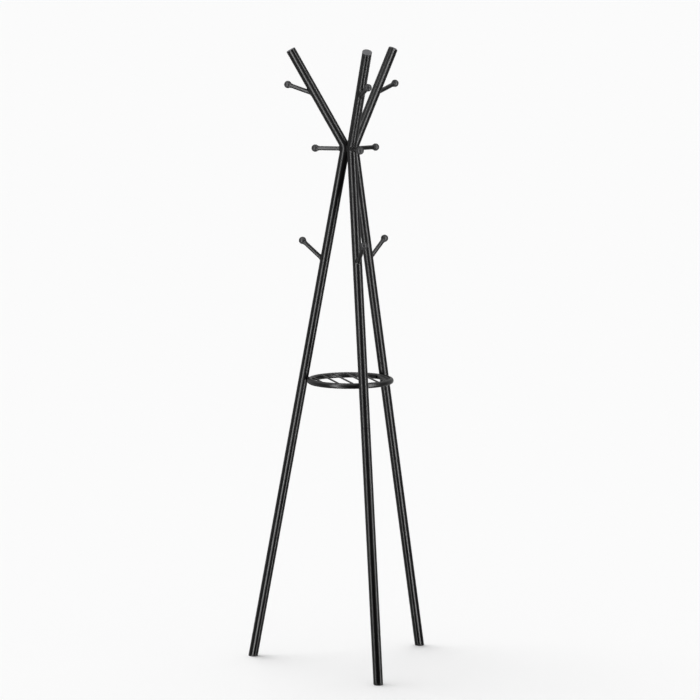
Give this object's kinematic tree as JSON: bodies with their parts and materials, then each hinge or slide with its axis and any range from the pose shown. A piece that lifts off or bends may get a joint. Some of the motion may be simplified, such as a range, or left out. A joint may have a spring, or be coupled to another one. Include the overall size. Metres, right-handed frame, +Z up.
{
  "type": "standing coat rack",
  "caption": "Free-standing tripod coat rack of bent steel tubes that meet at a crown, with ball-ended pegs on arms and legs and a round wire shelf between the legs.",
  "frame": {"origin": "on the floor, on the tripod's vertical axis: the centre of the circle through the three feet", "axes": "+Z up; the front leg stands on -Y, the right and left legs at 30 and 150 degrees from +X"},
  "size_m": [0.529, 0.4618, 1.7497],
  "materials": {
    "frame_tube": "satin black powder coat",
    "peg_rod": "satin black powder coat",
    "shelf_metal": "satin black powder coat",
    "ball": "semi-gloss black",
    "cap": "moulded black, satin",
    "foot": "moulded black",
    "fastener": "black zinc plated"
  },
  "bodies": {
    "root": {"arm_cap_front": "cap", "arm_cap_left": "cap", "arm_cap_right": "cap", "crown_weld": "frame_tube", "foot_front": "foot", "foot_left": "foot", "foot_right": "foot", "joint_insert_front": "fastener", "joint_insert_left": "fastener", "joint_insert_right": "fastener", "joint_plug_front": "fastener", "joint_plug_left": "fastener", "joint_plug_right": "fastener", "low_ball_front": "ball", "low_ball_left": "ball", "low_ball_right": "ball", "low_peg_front": "peg_rod", "low_peg_left": "peg_rod", "low_peg_right": "peg_rod", "lower_leg_front": "frame_tube", "lower_leg_left": "frame_tube", "lower_leg_right": "frame_tube", "middle_ball_front": "ball", "middle_ball_left": "ball", "middle_ball_right": "ball", "middle_peg_front": "peg_rod", "middle_peg_left": "peg_rod", "middle_peg_right": "peg_rod", "rivet_nut_front": "fastener", "rivet_nut_left": "fastener", "rivet_nut_right": "fastener", "shelf_ring": "shelf_metal", "shelf_screw_front": "fastener", "shelf_screw_left": "fastener", "shelf_screw_right": "fastener", "shelf_wire_1": "shelf_metal", "shelf_wire_2": "shelf_metal", "shelf_wire_3": "shelf_metal", "shelf_wire_4": "shelf_metal", "shelf_wire_5": "shelf_metal", "shelf_wire_6": "shelf_metal", "top_ball_front": "ball", "top_ball_left": "ball", "top_ball_right": "ball", "top_peg_front": "peg_rod", "top_peg_left": "peg_rod", "top_peg_right": "peg_rod", "upright_front": "frame_tube", "upright_left": "frame_tube", "upright_right": "frame_tube"}
  },
  "joints": []
}
